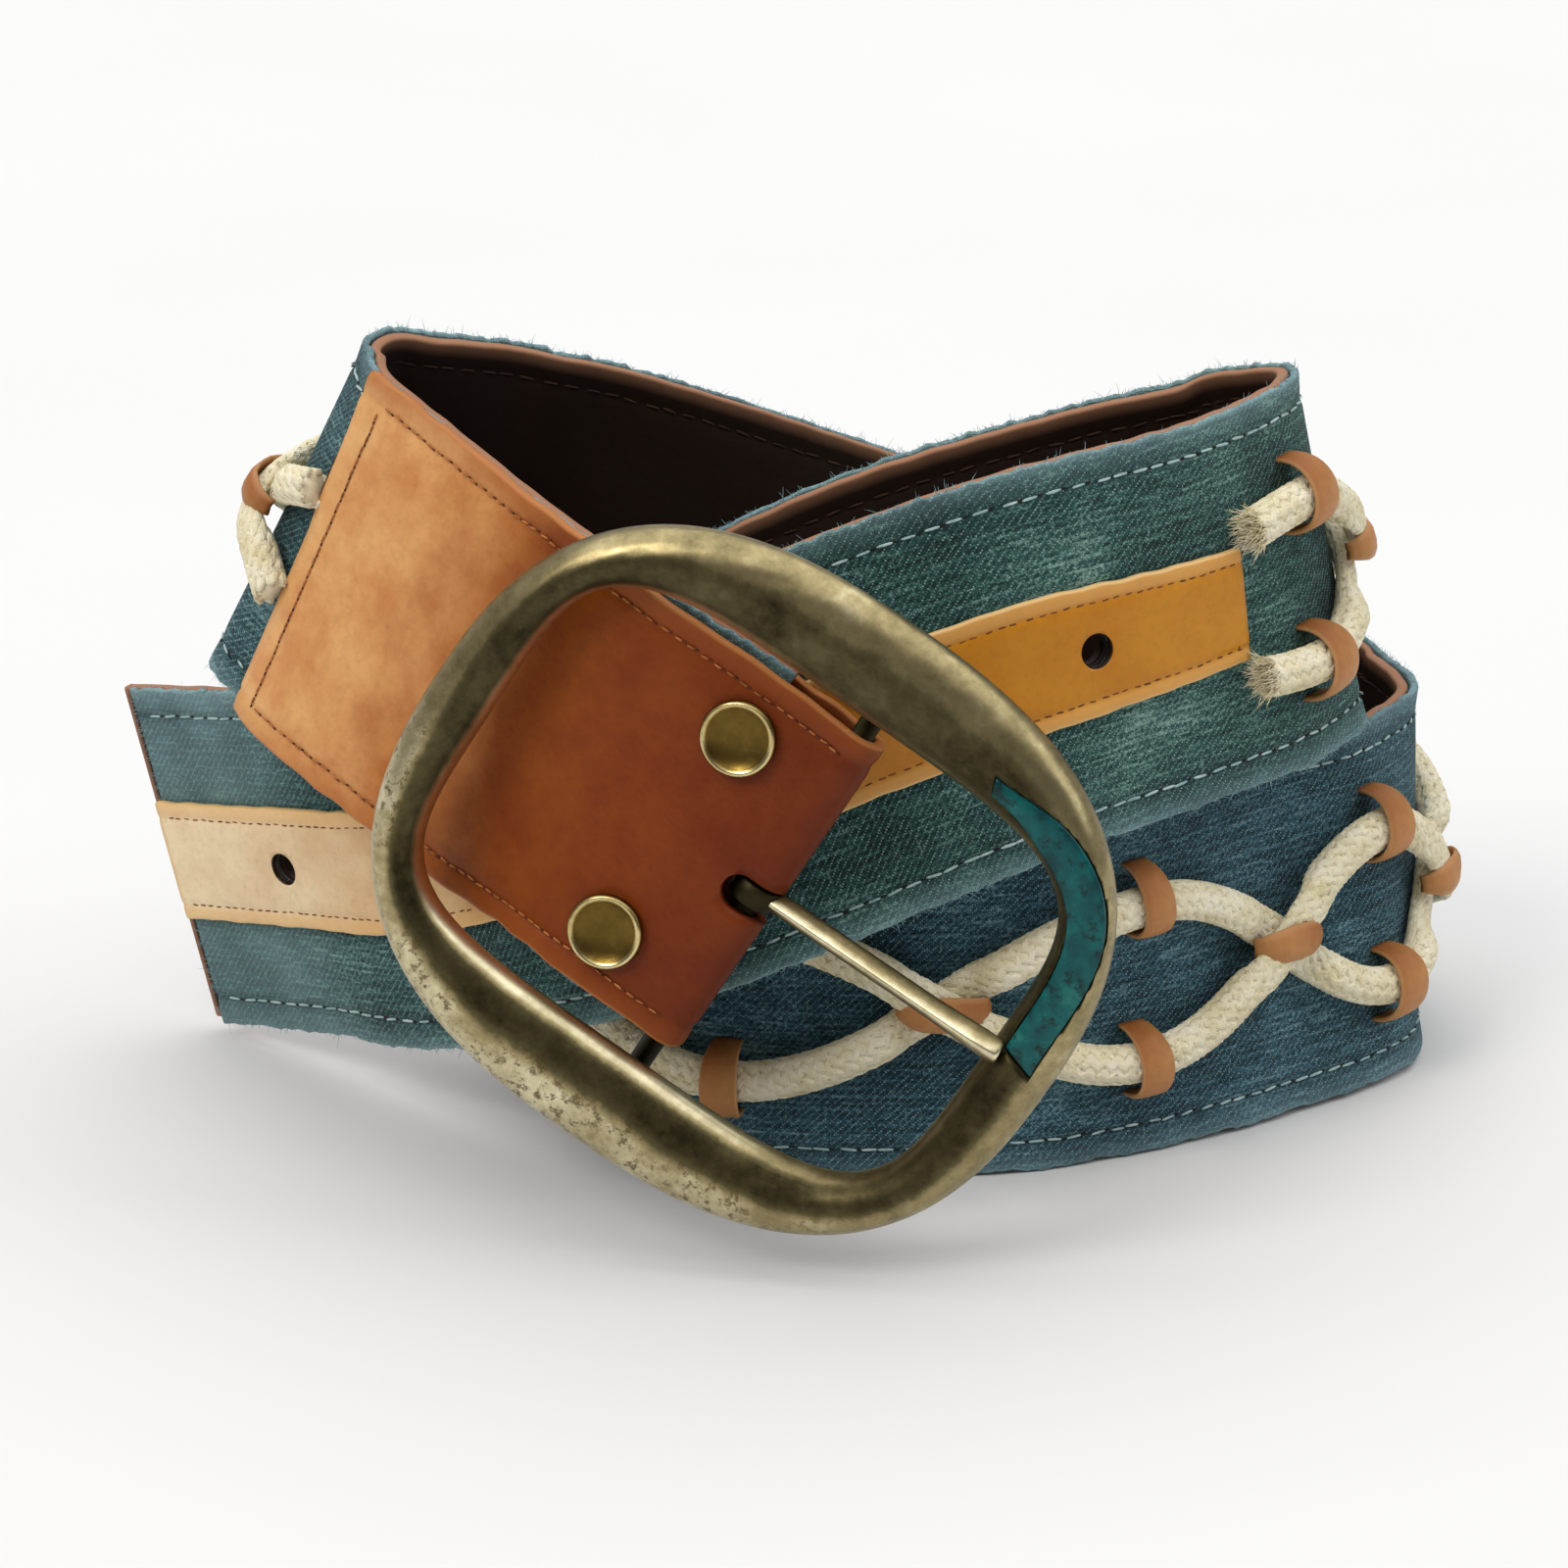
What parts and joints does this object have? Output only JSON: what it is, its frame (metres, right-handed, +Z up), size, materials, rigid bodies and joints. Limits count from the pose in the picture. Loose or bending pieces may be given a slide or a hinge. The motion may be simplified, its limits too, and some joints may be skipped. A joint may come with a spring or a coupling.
{
  "type": "belt",
  "caption": "Wide denim belt with leather lining and cord lacing, coiled on its edge behind a large ring buckle with a prong.",
  "frame": {"origin": "middle of the coil's footprint, on the surface that the belt stands on", "axes": "+Z up, +X along the front of the coil towards the right bend, +Y from the buckle towards the back"},
  "size_m": [0.2793, 0.1799, 0.1611],
  "materials": {
    "denim": "washed cotton twill, matte",
    "lining": "dark brown leather, satin",
    "strip": "golden tan leather, satin",
    "tab": "tan leather, waxed",
    "brass": "antique, worn at the edges",
    "cap": "antique, polished",
    "turquoise": "polished stone",
    "cord": "unbleached twisted cotton",
    "keeper": "brown leather, cut strip"
  },
  "bodies": {
    "strap": {"denim_band": "denim", "leather_lining": "lining", "hole_strip": "strip", "buckle_tab": "tab", "snap_cap_upper": "cap", "snap_cap_lower": "cap", "lace_cord_upper": "cord", "lace_cord_lower": "cord", "keeper_crossing_1": "keeper", "keeper_crossing_2": "keeper", "keeper_crossing_3": "keeper", "keeper_crossing_4": "keeper", "keeper_crossing_5": "keeper", "keeper_crossing_6": "keeper", "keeper_crossing_7": "keeper", "keeper_crossing_8": "keeper", "keeper_crossing_9": "keeper", "keeper_crossing_10": "keeper", "keeper_crossing_11": "keeper", "keeper_upper_1": "keeper", "keeper_upper_2": "keeper", "keeper_upper_3": "keeper", "keeper_upper_4": "keeper", "keeper_upper_5": "keeper", "keeper_upper_6": "keeper", "keeper_upper_7": "keeper", "keeper_upper_8": "keeper", "keeper_upper_9": "keeper", "keeper_upper_10": "keeper", "keeper_upper_11": "keeper", "keeper_lower_1": "keeper", "keeper_lower_2": "keeper", "keeper_lower_3": "keeper", "keeper_lower_4": "keeper", "keeper_lower_5": "keeper", "keeper_lower_6": "keeper", "keeper_lower_7": "keeper", "keeper_lower_8": "keeper", "keeper_lower_9": "keeper", "keeper_lower_10": "keeper", "keeper_lower_11": "keeper"},
    "buckle": {"buckle_frame": "brass", "turquoise_inlay": "turquoise"},
    "prong": {"prong": "brass"}
  },
  "joints": [
    {"name": "buckle_swing", "type": "hinge", "parent": "strap", "child": "buckle", "pos_m": [-0.00728, -0.06307, 0.07355], "axis": [0.5305, -0.0443, 0.8465], "range_deg": [-2, 34]},
    {"name": "prong_hinge", "type": "hinge", "parent": "buckle", "child": "prong", "pos_m": [-0.00728, -0.06307, 0.07355], "axis": [-0.5305, 0.0443, -0.8465], "range_deg": [0, 100]}
  ]
}
